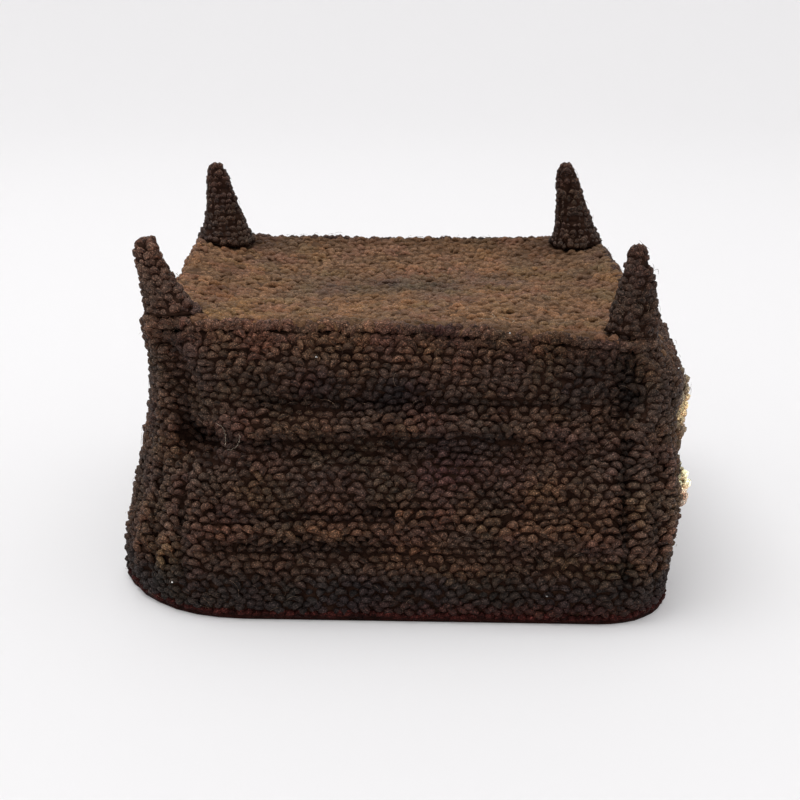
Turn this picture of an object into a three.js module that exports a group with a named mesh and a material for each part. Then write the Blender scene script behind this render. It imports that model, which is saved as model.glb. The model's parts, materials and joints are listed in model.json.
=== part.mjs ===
// A knotted wool cap with a square crown and a pointed peak on each crown corner, in millimetres.
// +Z is up and -Y is the front. The origin is the middle of the cap's footprint, on the surface that it rests on.
// The side wall, the crown panel, the four peaks and the edge binding are knotted parts that meet edge to edge.

import * as THREE from "three";

// Driving sizes
const BASE_WIDTH = 144; // across the wall's bottom edge, left to right
const BASE_DEPTH = 139; // across the wall's bottom edge, front to back
const CROWN_WIDTH = 127; // across the crown, left to right
const CROWN_DEPTH = 112; // across the crown, front to back
const CROWN_FORWARD = 2; // the crown's middle is this far in front of the base's middle
const CROWN_ASIDE = 1.8; // and this far to its right
const CROWN_HEIGHT = 76.5; // top of the crown panel at its highest corner
const WALL_THICKNESS = 3.2; // knotted wool, side wall
const PANEL_THICKNESS = 3; // knotted wool, crown panel
const BASE_ROUND = 28; // corner radius in plan at the bottom edge
const CROWN_ROUND = 9; // corner radius in plan at the crown
const PANEL_EDGE_ROUND = 1.2; // how far the panel's top edge is drawn in
const CROWN_DISH = 5; // dip of the crown's middle below its edges
const DISH_FLATNESS = 4; // 2 is a round bowl, and more is a flatter middle with steeper banks
const BINDING_HEIGHT = 2.4; // corded bottom edge
const BINDING_WIDTH = 3.4;
const PEAK_HEIGHT = 22.5; // mean height of a peak over the crown
const PEAK_RADIUS = 6; // a third of the way up a peak
const SEAM = 0.3; // clearance between parts that meet

// Divisions of the meshes
const SIDE_STEPS = 10; // along the straight part of each side
const ARC_STEPS = 9; // round each corner
const ARC_SHARE = 0.14; // each corner's arc takes this share of a side at both its ends
const END_CROWDING = 0.1; // how far a side's columns are drawn towards its corners
const WALL_ROWS = 22;
const PANEL_RINGS = 7;
const PEAK_SIDES = 12;

// Wall sections, bottom to top. at is a share of the wall's height. The next five columns say how far that side, or
// the corner radius, has gone from the base outline (0) to the crown outline (1). Below 0 it bulges past the base.
// twist turns the section about the cap's axis, in degrees.
const WALL_SECTIONS = [
  { at: 0.0, left: 0.0, right: 0.0, front: 0.0, back: 0.0, round: 0.0, twist: -2.0 },
  { at: 0.08, left: -0.04, right: -0.1, front: -0.04, back: -0.03, round: 0.0, twist: -1.9 },
  { at: 0.25, left: 0.2, right: -0.36, front: 0.08, back: 0.06, round: 0.05, twist: -1.7 },
  { at: 0.45, left: 0.53, right: -0.42, front: 0.3, back: 0.25, round: 0.12, twist: -1.4 },
  { at: 0.7, left: 0.85, right: -0.2, front: 0.6, back: 0.5, round: 0.28, twist: -0.9 },
  { at: 0.85, left: 0.95, right: -0.32, front: 0.85, back: 0.72, round: 0.5, twist: -0.5 },
  { at: 0.93, left: 0.98, right: 0.0, front: 0.93, back: 0.85, round: 0.8, twist: -0.2 },
  { at: 1.0, left: 1.0, right: 1.0, front: 1.0, back: 1.0, round: 1.0, twist: 0.0 },
];

// Rolls, creases, ridges and dents of the wall. turn counts sides from the front-left corner: the front side runs
// from 0 to 1, the right from 1 to 2, the back to 3 and the left to 4. reach is half the length in turns, at and
// spread are shares of the wall's height, tilt is the change of at per turn, and rise is a share of the wall's
// thickness, outwards.
const WALL_FOLDS = [
  { turn: 0.5, reach: 0.42, at: 0.85, tilt: -0.02, spread: 0.05, rise: 0.4 }, // swell of the upper front
  { turn: 0.52, reach: 0.4, at: 0.727, tilt: 0.0, spread: 0.03, rise: -0.3 },
  { turn: 0.53, reach: 0.4, at: 0.668, tilt: 0.0, spread: 0.035, rise: 0.6 }, // upper front roll
  { turn: 0.53, reach: 0.38, at: 0.606, tilt: 0.04, spread: 0.03, rise: -0.9 }, // crease below it
  { turn: 0.5, reach: 0.4, at: 0.49, tilt: 0.0, spread: 0.06, rise: 0.35 }, // swell of the middle front
  { turn: 0.3, reach: 0.2, at: 0.3, tilt: 0.0, spread: 0.035, rise: 0.5 }, // lower front roll, left half
  { turn: 0.7, reach: 0.22, at: 0.31, tilt: -0.25, spread: 0.035, rise: 0.5 }, // lower front roll, right half
  { turn: 0.5, reach: 0.38, at: 0.235, tilt: -0.12, spread: 0.03, rise: -0.45 },
  { turn: -0.04, reach: 0.05, at: 0.82, tilt: 0.0, spread: 0.2, rise: 0.5 }, // ridge under the front-left peak
  { turn: 0.02, reach: 0.04, at: 0.8, tilt: 0.0, spread: 0.14, rise: -0.9 }, // valley beside it
  { turn: 0.04, reach: 0.055, at: 0.59, tilt: 0.0, spread: 0.06, rise: -1.2 }, // pit at its foot
  { turn: -0.09, reach: 0.025, at: 0.3, tilt: 0.0, spread: 0.2, rise: 0.3 }, // ribs below the pit
  { turn: -0.01, reach: 0.025, at: 0.3, tilt: 0.0, spread: 0.2, rise: 0.35 },
  { turn: 0.06, reach: 0.025, at: 0.3, tilt: 0.0, spread: 0.2, rise: 0.3 },
  { turn: 0.9, reach: 0.045, at: 0.82, tilt: 0.0, spread: 0.16, rise: 0.6 }, // ridge under the front-right peak
  { turn: 0.83, reach: 0.04, at: 0.77, tilt: 0.0, spread: 0.11, rise: -1.0 },
  { turn: 0.96, reach: 0.025, at: 0.3, tilt: 0.0, spread: 0.2, rise: 0.3 }, // ribs of the front-right corner
  { turn: 1.03, reach: 0.025, at: 0.35, tilt: 0.0, spread: 0.22, rise: 0.3 },
  { turn: 1.5, reach: 0.36, at: 0.5, tilt: 0.05, spread: 0.05, rise: -0.6 }, // right side
  { turn: 1.52, reach: 0.34, at: 0.62, tilt: 0.05, spread: 0.05, rise: 0.5 },
  { turn: 1.97, reach: 0.06, at: 0.8, tilt: 0.0, spread: 0.2, rise: 0.45 }, // ridges under the back peaks
  { turn: 3.03, reach: 0.06, at: 0.8, tilt: 0.0, spread: 0.2, rise: 0.45 },
  { turn: 2.5, reach: 0.4, at: 0.7, tilt: -0.03, spread: 0.045, rise: 0.5 }, // back side
  { turn: 2.5, reach: 0.4, at: 0.61, tilt: -0.03, spread: 0.035, rise: -0.7 },
  { turn: 2.48, reach: 0.38, at: 0.32, tilt: 0.05, spread: 0.05, rise: 0.4 },
  { turn: 3.5, reach: 0.38, at: 0.6, tilt: 0.04, spread: 0.05, rise: -0.6 }, // left side
  { turn: 3.52, reach: 0.4, at: 0.72, tilt: 0.04, spread: 0.05, rise: 0.5 },
  { turn: 3.48, reach: 0.36, at: 0.33, tilt: 0.0, spread: 0.05, rise: 0.4 },
];

// Corners. side_x and side_y place the corner, height is a share of CROWN_HEIGHT and round a share of BASE_ROUND.
const CORNERS = [
  { name: "front_left", side_x: -1, side_y: -1, height: 0.985, round: 1.3 },
  { name: "front_right", side_x: 1, side_y: -1, height: 0.907, round: 0.68 },
  { name: "back_right", side_x: 1, side_y: 1, height: 0.985, round: 1.0 },
  { name: "back_left", side_x: -1, side_y: 1, height: 0.99, round: 1.0 },
];

// Edges of the crown, by the side they lie on. rise lifts the edge's middle over a straight line between its
// corners, as a share of PANEL_THICKNESS.
const CROWN_EDGES = [
  { side_x: 0, side_y: -1, rise: 0.8 },
  { side_x: 1, side_y: 0, rise: 0.0 },
  { side_x: 0, side_y: 1, rise: -0.35 },
  { side_x: -1, side_y: 0, rise: 0.2 },
];

// Swells and hollows of the crown panel: centre as shares of the half crown, reach as a share of it, and rise as a
// share of CROWN_DISH.
const CROWN_SWELLS = [
  { x: 0.35, y: -0.45, reach: 0.45, rise: 0.55 },
  { x: -0.35, y: 0.1, reach: 0.5, rise: -0.35 },
];

// Peaks. tall is a share of PEAK_HEIGHT and wide of PEAK_RADIUS. lean_x and lean_y move the tip outwards, as shares
// of PEAK_RADIUS.
const PEAKS = [
  { corner: "front_left", tall: 0.86, wide: 0.9, lean_x: 1.2, lean_y: 0.3 },
  { corner: "front_right", tall: 1.0, wide: 0.84, lean_x: 0.1, lean_y: 0.3 },
  { corner: "back_right", tall: 1.11, wide: 1.02, lean_x: -0.7, lean_y: 0.2 },
  { corner: "back_left", tall: 1.07, wide: 1.06, lean_x: 0.5, lean_y: 0.2 },
];

// Rings of a peak, foot to tip. at is a share of its height, width a share of its radius, and sweep the share of
// the lean that is reached there.
const PEAK_RINGS = [
  { at: 0.0, width: 1.4, sweep: 0.0 },
  { at: 0.08, width: 1.24, sweep: 0.05 },
  { at: 0.2, width: 1.08, sweep: 0.17 },
  { at: 0.34, width: 0.94, sweep: 0.32 },
  { at: 0.5, width: 0.8, sweep: 0.5 },
  { at: 0.66, width: 0.68, sweep: 0.67 },
  { at: 0.8, width: 0.58, sweep: 0.81 },
  { at: 0.9, width: 0.46, sweep: 0.91 },
  { at: 0.965, width: 0.28, sweep: 0.98 },
];

const HALF_CROWN_X = CROWN_WIDTH / 2;
const HALF_CROWN_Y = CROWN_DEPTH / 2;

// A smooth value of one column of a table, between its rows
function column(rows, name, at) {
  const last = rows.length - 1;
  const upper = THREE.MathUtils.clamp(rows.findIndex((row) => row.at >= at), 1, last);
  const [a, b] = [rows[upper - 1], rows[upper]];
  const share = THREE.MathUtils.clamp((at - a.at) / (b.at - a.at), 0, 1);
  const slope = (i) => {
    const [p, q] = [rows[Math.max(i - 1, 0)], rows[Math.min(i + 1, last)]];
    return ((q[name] - p[name]) / (q.at - p.at)) * (b.at - a.at);
  };
  const [m, n] = [slope(upper - 1), slope(upper)];
  const [s2, s3] = [share ** 2, share ** 3];
  return (
    (2 * s3 - 3 * s2 + 1) * a[name] + (s3 - 2 * s2 + share) * m + (3 * s2 - 2 * s3) * b[name] + (s3 - s2) * n
  );
}

// 1 at the middle of a fold, falling smoothly to 0 at its reach
const bell = (offset, reach) => (Math.abs(offset) < reach ? 0.5 + 0.5 * Math.cos((Math.PI * offset) / reach) : 0);

// 1 along most of a fold's length, easing to 0 over its last third at each end
const plateau = (offset, reach) => THREE.MathUtils.smoothstep(reach - Math.abs(offset), 0, reach / 3);

// The shortest way between two places on the closed wall, in turns
const turnsBetween = (a, b) => THREE.MathUtils.euclideanModulo(a - b + 2, 4) - 2;

// Outward push of the folds at one place of the wall, in millimetres
function foldRise(turn, at) {
  return WALL_FOLDS.reduce((sum, fold) => {
    const past = turnsBetween(turn, fold.turn);
    const across = bell(at - fold.at - fold.tilt * past, 2 * fold.spread);
    return sum + plateau(past, fold.reach) * across * fold.rise * WALL_THICKNESS;
  }, 0);
}

// Place and outward direction, in plan, on a twisted rectangle with these reaches and four corner radii
function outline(turn, { left, right, front, back, round, twist }) {
  const centre = new THREE.Vector2();
  const corner = (number) => {
    const k = THREE.MathUtils.euclideanModulo(number, 4);
    const { side_x, side_y } = CORNERS[k];
    const x = side_x < 0 ? round[k] - left : right - round[k];
    const y = side_y < 0 ? round[k] - front : back - round[k];
    return { centre: new THREE.Vector2(x, y), radius: round[k], diagonal: Math.atan2(side_y, side_x) };
  };
  const nearest = Math.round(turn);
  const past = turn - nearest;
  if (Math.abs(past) <= ARC_SHARE) {
    const { centre: middle, radius, diagonal } = corner(nearest);
    const angle = diagonal + ((past / ARC_SHARE) * Math.PI) / 4;
    const out = new THREE.Vector2(Math.cos(angle), Math.sin(angle));
    const place = middle.addScaledVector(out, radius);
    return { place: place.rotateAround(centre, twist), out: out.rotateAround(centre, twist) };
  }
  const side = Math.floor(turn);
  const share = (turn - side - ARC_SHARE) / (1 - 2 * ARC_SHARE);
  const angle = ((side - 1) * Math.PI) / 2;
  const out = new THREE.Vector2(Math.cos(angle), Math.sin(angle));
  const [from, to] = [corner(side), corner(side + 1)].map((end) => end.centre.addScaledVector(out, end.radius));
  return { place: from.lerp(to, share).rotateAround(centre, twist), out: out.rotateAround(centre, twist) };
}

// The wall's section at a share of its height, before folds
function section(at) {
  const between = (base, crown, name) => THREE.MathUtils.lerp(base, crown, column(WALL_SECTIONS, name, at));
  return {
    left: between(BASE_WIDTH / 2, HALF_CROWN_X - CROWN_ASIDE, "left"),
    right: between(BASE_WIDTH / 2, HALF_CROWN_X + CROWN_ASIDE, "right"),
    front: between(BASE_DEPTH / 2, HALF_CROWN_Y + CROWN_FORWARD, "front"),
    back: between(BASE_DEPTH / 2, HALF_CROWN_Y - CROWN_FORWARD, "back"),
    round: CORNERS.map(({ round }) => between(BASE_ROUND * round, CROWN_ROUND, "round")),
    twist: THREE.MathUtils.degToRad(column(WALL_SECTIONS, "twist", at)),
  };
}

// Height of the crown panel's top over a place in plan
function crownHeight(x, y) {
  const u = THREE.MathUtils.clamp((x - CROWN_ASIDE) / HALF_CROWN_X, -1, 1);
  const v = THREE.MathUtils.clamp((y + CROWN_FORWARD) / HALF_CROWN_Y, -1, 1);
  const corners = CORNERS.reduce(
    (sum, { side_x, side_y, height }) => sum + (height * (1 + side_x * u) * (1 + side_y * v)) / 4,
    0,
  );
  const swells = CROWN_SWELLS.reduce(
    (sum, swell) => sum + swell.rise * bell(Math.hypot(u - swell.x, v - swell.y), 2 * swell.reach),
    0,
  );
  const inside = (1 - Math.abs(u) ** DISH_FLATNESS) * (1 - Math.abs(v) ** DISH_FLATNESS);
  const edges = CROWN_EDGES.reduce((sum, { side_x, side_y, rise }) => {
    const [across, along] = side_x ? [side_x * u, v] : [side_y * v, u];
    return sum + (rise * (1 - along * along) * (1 + across)) / 2;
  }, 0);
  return CROWN_HEIGHT * corners + PANEL_THICKNESS * edges + CROWN_DISH * inside * (swells - 1);
}

// The wall's columns, in turns
function wallTurns() {
  const turns = [];
  for (let side = 0; side < 4; side++) {
    for (let i = 0; i < ARC_STEPS; i++) turns.push(side + ARC_SHARE * ((2 * i) / ARC_STEPS - 1));
    for (let i = 0; i < SIDE_STEPS; i++) {
      const share = i / SIDE_STEPS - END_CROWDING * Math.sin((2 * Math.PI * i) / SIDE_STEPS);
      turns.push(side + ARC_SHARE + (1 - 2 * ARC_SHARE) * share);
    }
  }
  return turns;
}

const TURNS = wallTurns();
const WALL_FOOT = BINDING_HEIGHT + SEAM;

// A place on the wall, moved outwards from its outer face by a distance
function wallPoint(turn, at, outwards) {
  const { place, out } = outline(turn, section(at));
  const { x, y } = place.addScaledVector(out, outwards + foldRise(turn, at));
  const top = crownHeight(x, y) - PANEL_THICKNESS - SEAM;
  return new THREE.Vector3(x, y, THREE.MathUtils.lerp(WALL_FOOT, top, at));
}

// Triangles of a band between two closed rings of equal length, given by their first indices
function band(index, lower, upper, length) {
  for (let i = 0; i < length; i++) {
    const j = (i + 1) % length;
    index.push(lower + i, lower + j, upper + j, lower + i, upper + j, upper + i);
  }
}

// A closed body through closed rings of points. The last ring joins the first, or both ends close on a point.
function loft(rings, { foot, tip } = {}) {
  const length = rings[0].length;
  const points = rings.flat();
  const index = [];
  for (let i = 1; i < rings.length; i++) band(index, (i - 1) * length, i * length, length);
  if (tip) {
    const last = (rings.length - 1) * length;
    points.push(foot, tip);
    for (let i = 0; i < length; i++) {
      const j = (i + 1) % length;
      index.push(points.length - 2, j, i, points.length - 1, last + i, last + j);
    }
  } else {
    band(index, (rings.length - 1) * length, 0, length);
  }
  const geometry = new THREE.BufferGeometry().setFromPoints(points).setIndex(index);
  geometry.computeVertexNormals();
  return geometry;
}

function sideWall() {
  const rows = Array.from({ length: WALL_ROWS + 1 }, (_, i) => i / WALL_ROWS);
  const ring = (at, outwards) => TURNS.map((turn) => wallPoint(turn, at, outwards));
  const outer = rows.map((at) => ring(at, 0));
  const inner = rows.map((at) => ring(at, -WALL_THICKNESS)).reverse();
  return loft([...outer, ...inner]);
}

// The crown panel: rings that shrink towards the middle, on top and underneath
function crownPanel() {
  const middle = new THREE.Vector3(CROWN_ASIDE, -CROWN_FORWARD, crownHeight(CROWN_ASIDE, -CROWN_FORWARD));
  const ring = (share, inset, drop) =>
    TURNS.map((turn) => {
      const { x, y } = wallPoint(turn, 1, -inset).sub(middle).multiplyScalar(share).add(middle);
      return new THREE.Vector3(x, y, crownHeight(x, y) - drop);
    });
  const shares = Array.from({ length: PANEL_RINGS }, (_, i) => 1 - i / PANEL_RINGS);
  const under = shares.map((share) => ring(share, 0, PANEL_THICKNESS)).reverse();
  const over = shares.map((share) => ring(share, PANEL_EDGE_ROUND, 0));
  const rim = ring(1, 0, PANEL_EDGE_ROUND);
  const foot = middle.clone().setZ(middle.z - PANEL_THICKNESS);
  return loft([...under, rim, ...over], { foot, tip: middle });
}

// A peak that stands on the crown panel with its outer side over the wall's corner
function peak({ corner, tall, wide, lean_x, lean_y }) {
  const { side_x, side_y } = CORNERS.find(({ name }) => name === corner);
  const radius = PEAK_RADIUS * wide;
  const height = PEAK_HEIGHT * tall;
  const inFromSide = radius * PEAK_RINGS[0].width;
  const centre = new THREE.Vector2(
    side_x * (HALF_CROWN_X - inFromSide) + CROWN_ASIDE,
    side_y * (HALF_CROWN_Y - inFromSide) - CROWN_FORWARD,
  );
  const base = crownHeight(centre.x, centre.y) + SEAM;
  const ring = ({ at, width, sweep }, onPanel) => {
    const points = [];
    for (let i = 0; i < PEAK_SIDES; i++) {
      const angle = (i / PEAK_SIDES) * 2 * Math.PI;
      const x = centre.x + radius * (width * Math.cos(angle) + side_x * lean_x * sweep);
      const y = centre.y + radius * (width * Math.sin(angle) + side_y * lean_y * sweep);
      points.push(new THREE.Vector3(x, y, onPanel ? crownHeight(x, y) + SEAM : base + at * height));
    }
    return points;
  };
  const [first, ...others] = PEAK_RINGS;
  const innerFoot = { ...first, width: first.width / 2 };
  const rings = [ring(innerFoot, true), ring(first, true), ...others.map((row) => ring(row, false))];
  const foot = new THREE.Vector3(centre.x, centre.y, base);
  const tip = new THREE.Vector3(
    centre.x + radius * side_x * lean_x,
    centre.y + radius * side_y * lean_y,
    base + height,
  );
  return loft(rings, { foot, tip });
}

// The corded edge under the wall: flat below, rounded on both sides. across and up are shares of its size.
function edgeBinding() {
  const PROFILE = [
    { across: 0.36, up: 0 },
    { across: 0.5, up: 0.5 },
    { across: 0.36, up: 1 },
    { across: -0.36, up: 1 },
    { across: -0.5, up: 0.5 },
    { across: -0.36, up: 0 },
  ];
  const rings = PROFILE.map(({ across, up }) =>
    TURNS.map((turn) => {
      const { x, y } = wallPoint(turn, 0, across * BINDING_WIDTH - WALL_THICKNESS / 2);
      return new THREE.Vector3(x, y, up * BINDING_HEIGHT);
    }),
  );
  return loft(rings);
}

function woolMesh(name, geometry, color) {
  const material = new THREE.MeshStandardMaterial({ color, roughness: 0.95, metalness: 0 });
  const mesh = new THREE.Mesh(geometry, material);
  mesh.name = name;
  return mesh;
}

const cap = new THREE.Group();
cap.name = "four_pointed_cap";
cap.add(woolMesh("side_wall", sideWall(), 0x45352b));
cap.add(woolMesh("crown_panel", crownPanel(), 0x74583f));
cap.add(woolMesh("edge_binding", edgeBinding(), 0x3a1a18));
for (const row of PEAKS) cap.add(woolMesh(`peak_${row.corner}`, peak(row), 0x3f3028));

// The footprint's middle is put at the origin
const box = new THREE.Box3().setFromObject(cap);
cap.position.set(-(box.min.x + box.max.x) / 2, -(box.min.y + box.max.y) / 2, 0);

export default cap;
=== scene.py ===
import json
import math

import bmesh
import bpy
import numpy as np
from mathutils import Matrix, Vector, noise
from mathutils.bvhtree import BVHTree

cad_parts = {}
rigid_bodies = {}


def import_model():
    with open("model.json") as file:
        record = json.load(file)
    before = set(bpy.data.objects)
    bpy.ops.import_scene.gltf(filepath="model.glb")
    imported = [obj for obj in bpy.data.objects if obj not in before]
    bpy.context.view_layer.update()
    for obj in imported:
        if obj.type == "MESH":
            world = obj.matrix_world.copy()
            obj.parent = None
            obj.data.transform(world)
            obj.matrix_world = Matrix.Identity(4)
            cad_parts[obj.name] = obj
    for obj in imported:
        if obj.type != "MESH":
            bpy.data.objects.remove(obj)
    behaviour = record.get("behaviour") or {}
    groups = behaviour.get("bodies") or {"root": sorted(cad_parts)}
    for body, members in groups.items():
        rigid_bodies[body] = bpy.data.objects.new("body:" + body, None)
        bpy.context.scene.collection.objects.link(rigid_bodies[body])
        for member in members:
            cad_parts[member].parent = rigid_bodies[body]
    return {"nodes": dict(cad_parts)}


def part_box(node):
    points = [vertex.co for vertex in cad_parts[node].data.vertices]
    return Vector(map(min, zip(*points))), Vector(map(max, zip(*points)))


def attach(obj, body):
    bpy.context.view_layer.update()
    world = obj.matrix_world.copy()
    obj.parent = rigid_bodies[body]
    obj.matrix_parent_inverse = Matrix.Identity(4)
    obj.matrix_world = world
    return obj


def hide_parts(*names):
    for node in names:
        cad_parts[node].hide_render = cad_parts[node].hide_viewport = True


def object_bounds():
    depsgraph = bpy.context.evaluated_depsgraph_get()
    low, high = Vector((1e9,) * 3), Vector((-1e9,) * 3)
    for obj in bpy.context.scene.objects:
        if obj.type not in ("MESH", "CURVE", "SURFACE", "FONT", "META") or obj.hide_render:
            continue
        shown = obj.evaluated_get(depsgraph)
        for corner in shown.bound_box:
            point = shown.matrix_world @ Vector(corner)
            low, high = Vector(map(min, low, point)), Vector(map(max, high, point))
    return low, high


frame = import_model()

# Sizes, in metres
MM = 0.001
CAD_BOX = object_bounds()
PEAKS = [name for name in frame["nodes"] if name.startswith("peak_")]

# Knots of the wall: each is a short bend of yarn that lies along its row
KNOTS_ROUND = 192
BINDING_KNOTS = 250
ROW_RISE = 1.74 * MM
KNOT_LENGTH = 3.7 * MM
KNOT_HEIGHT = 1.9 * MM
KNOT_DEPTH = 2.2 * MM
KNOT_SIZE = (KNOT_LENGTH, KNOT_HEIGHT, KNOT_DEPTH)
KNOT_SET = 0.45 * MM
KNOT_SLANT = 0.22
LOW_KNOT = 0.35 * MM
# Every other knot sits lower and is darkened by this share, as painted shade
LOW_KNOT_PAINTED_SHADE = 0.82
UPWARD_SET = 0.4 * MM
WAVER = 0.55 * MM
WAVER_LENGTH = 6 * MM
FIRST_ROW_DROP = 0.5 * MM
SEAM_ROWS = (2.5, 1.5, 0.5)

# How unevenly knots are laid: turn and nod in radians, scatter in metres, sizes as shares
TURN_SPREAD = 0.3
NOD_SPREAD = 0.22
SCATTER = 0.27 * MM
OUTWARD_SCATTER = 0.7
SIZE_SPREAD = (0.84, 1.16)

# Knots of the crown, of the binding and of the peaks
CROWN_KNOT_SIZE = (KNOT_LENGTH * 0.95, KNOT_HEIGHT * 1.2, KNOT_DEPTH * 0.8)
CROWN_KNOT_PITCH = 2.25 * MM
CROWN_ROW_PITCH = 1.6 * MM
CROWN_KNOT_SET = 0.8 * MM
CROWN_MARGIN = 3 * MM
CROWN_LEVEL = 72 * MM
CROWN_EDGE_SLOPE = 0.88
BINDING_KNOT_SIZE = (3.6 * MM, 1.9 * MM, 1.7 * MM)
BINDING_KNOT_SET = 0.5 * MM
BINDING_KNOT_RISE = 0.85 * MM
PEAK_KNOT_SIZE = (KNOT_LENGTH, KNOT_HEIGHT * 1.25, KNOT_DEPTH)
PEAK_FOOT_SCALE = 0.98
PEAK_TIP_SHRINK = 0.15
PEAK_KNOT_PITCH = 2.1 * MM
PEAK_ROW_RISE = 1.65 * MM
PEAK_STEPS = 24
PEAK_CAST_FROM = 20 * MM
PEAK_FOOT = 1.2 * MM
PEAK_TIP = 1.3 * MM
PEAK_FOOT_SHARE = 0.2
TIP_KNOT_SIZE = (3.0 * MM, 2.6 * MM, 2.4 * MM)
TIP_KNOTS = 5
TIP_KNOT_REACH = 0.9 * MM
STUB_OFFSET = Vector((1.9 * MM, -0.4 * MM, -0.7 * MM))
STUB_SIZE = (2.2 * MM, 1.0 * MM, 1.0 * MM)

# Each peak's knots: how light they are and how much lighter at the tip, how deep they are set and how much
# deeper at the foot, and how unruly they are
FRONT_PEAK = {"shade": 0.8, "paler": 0.0, "set": 0.75 * MM, "foot_set": 0.8 * MM, "unruly": 1.2}
BACK_PEAK = {"shade": 0.8, "paler": 0.0, "set": 0.95 * MM, "foot_set": 0.0, "unruly": 0.8}
PEAK_KNOTS = {
    "peak_front_left": {**FRONT_PEAK, "shade": 1.12, "paler": 0.4},
    "peak_front_right": FRONT_PEAK,
    "peak_back_right": BACK_PEAK,
    "peak_back_left": BACK_PEAK,
}

# The cloth behind the knots: how far it is drawn in, and how the wall's meets the crown and the binding
GROUND_DROP = 0.75 * MM
CROWN_GROUND_DROP = 0.55 * MM
PEAK_GROUND_DROP = 0.35 * MM
BINDING_GROUND_DROP = 0.2 * MM
FOLD_GAP = 0.4
HOLLOW_MIDDLE = Vector((0, 0, 40 * MM))
LIP_REACH = 2.6 * MM
LIP_RISE = 0.6 * MM
WALL_FOOT = 0.8 * MM
WALL_FOOT_REACH = 1.6 * GROUND_DROP

# The bend of yarn, from its middle to its ends, in parts of its size
KNOT_RINGS = [
    {"reach": 0.0, "drop": 0.0, "sink": 0.0, "girth": 1.0},
    {"reach": 0.25, "drop": 0.11, "sink": 0.1, "girth": 1.02},
    {"reach": 0.433, "drop": 0.36, "sink": 0.36, "girth": 1.2},
    {"reach": 0.5, "drop": 0.52, "sink": 0.52, "girth": 1.0},
]

# A loose hair, in parts of its length
HAIR_RINGS = [
    {"reach": 0.0, "drop": 0.0, "sink": 0.0, "girth": 0.03},
    {"reach": 0.25, "drop": 0.05, "sink": 0.03, "girth": 0.03},
    {"reach": 0.433, "drop": 0.16, "sink": 0.08, "girth": 0.04},
    {"reach": 0.5, "drop": 0.22, "sink": 0.12, "girth": 1.0},
]
STRAND_RINGS = [
    {"reach": 0.0, "drop": 0.0, "sink": 0.0, "girth": 0.09},
    {"reach": 0.25, "drop": 0.0, "sink": 0.0, "girth": 0.1},
    {"reach": 0.433, "drop": 0.0, "sink": 0.0, "girth": 0.15},
]
HAIRS = 1700
STRAND_LENGTH = 1.3 * MM
STRAND_STEP = 1.0 * MM
STRAND_LIFT = 1.2 * MM
HAIR_LENGTHS = (1.6 * MM, 4.2 * MM)
LINT_SIZE = (0.45 * MM, 0.35 * MM, 0.35 * MM)
LINT_LIFT = 0.8 * MM

# Long pale hairs: where each starts, its heading, how much it turns at each step, and its steps
LONG_HAIRS = [
    {"at": (20, -50, 73.5), "heading": 0.3, "curl": 0.22, "steps": 9},
    {"at": (26, -47, 73.5), "heading": -0.6, "curl": -0.25, "steps": 7},
    {"at": (-51, -52, 74), "heading": 1.4, "curl": 0.2, "steps": 8},
    {"at": (-55, -54, 77), "heading": 0.5, "curl": -0.3, "steps": 6},
    {"at": (-44, -63, 45), "heading": 1.3, "curl": 0.24, "steps": 7},
    {"at": (-42, -64, 44), "heading": 0.2, "curl": 0.35, "steps": 6},
]
LINT = [(-57, -65, 9.5), (68, -55, 62), (-20, -61.5, 67), (36, -71, 8.5), (60, -58, 63), (26, -61, 73)]

# Walking up the wall
ROUND_STEPS = 360
ROW_BLEND = 5
CLIMB_STEP = 0.5 * MM
CAST_FROM = 0.13
LARGEST_JUMP = 6 * MM
STEEPEST_UP = 0.93
MISSES = 8
BINDING_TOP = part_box("edge_binding")[1][2]

# The camera: its place was worked out from the photograph's scale bar and floor
CAMERA_PLACE = (0.0, -0.3715, 0.1555)
CAMERA_PITCH = math.radians(17.8)
CAMERA_LENS = 60.3

# The studio: a round white floor that sweeps up into a wall, a pale sky and round lights aimed at the origin
STUDIO_RADIUS = 2.2
STUDIO_HEIGHT = 2.4
STUDIO_SWEEP = 1.2
FLOOR_WHITE = (0.66, 0.655, 0.66, 1)
# The floor glows faintly: painted light that lightens the shadows on it
FLOOR_PAINTED_LIGHT = (1, 0.985, 0.985, 1)
FLOOR_PAINTED_LIGHT_STRENGTH = 0.18
FLOOR_ROUGHNESS = 0.8
SKY_WHITE = (0.97, 0.97, 1.0, 1)
SKY_STRENGTH = 0.26
LIGHTS = [
    {"name": "overhead", "place": (-0.4, 0.05, 1.7), "size": 1.3, "power": 12.0},
    {"name": "upper_fill", "place": (0, 0, 2.35), "size": 3.4, "power": 28.0},
]

# Yarn colours, linear
WALL_BROWN = (0.052, 0.0303, 0.0206)
CROWN_BROWN = (0.153, 0.086, 0.0462)
BINDING_RED = (0.025, 0.0062, 0.005)
HAIR_BROWN = (0.12, 0.08, 0.055)
PALE_HAIR = (0.42, 0.35, 0.27)
LINT_WHITE = (0.7, 0.7, 0.68)
PEAK_BROWN = (0.047, 0.0285, 0.02)
REDDER_TIP = np.array((0.2, 0.06, 0.0))
TIP_TINT = np.array((1.3, 1.06, 1.0))
# The darker, redder roots of the knots: partly dirt in the crevices, partly painted shade
ROOT_DIRT_AND_SHADE = (0.36, 0.22, 0.16)
CROWN_ROOT_DIRT_AND_SHADE = (0.86, 0.79, 0.74)
NO_TINT = (1, 1, 1)

# Colours of the cloth behind the knots, linear, dark partly as painted shade between the knots: in its
# middles and in its gaps, the darker gap colour being painted shade
DARK_GROUND = ((0.034, 0.017, 0.011), (0.014, 0.0062, 0.004))
CROWN_GROUND = ((0.13, 0.074, 0.041), (0.07, 0.039, 0.023))
RED_GROUND = ((0.03, 0.009, 0.007), (0.01, 0.004, 0.003))

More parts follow.
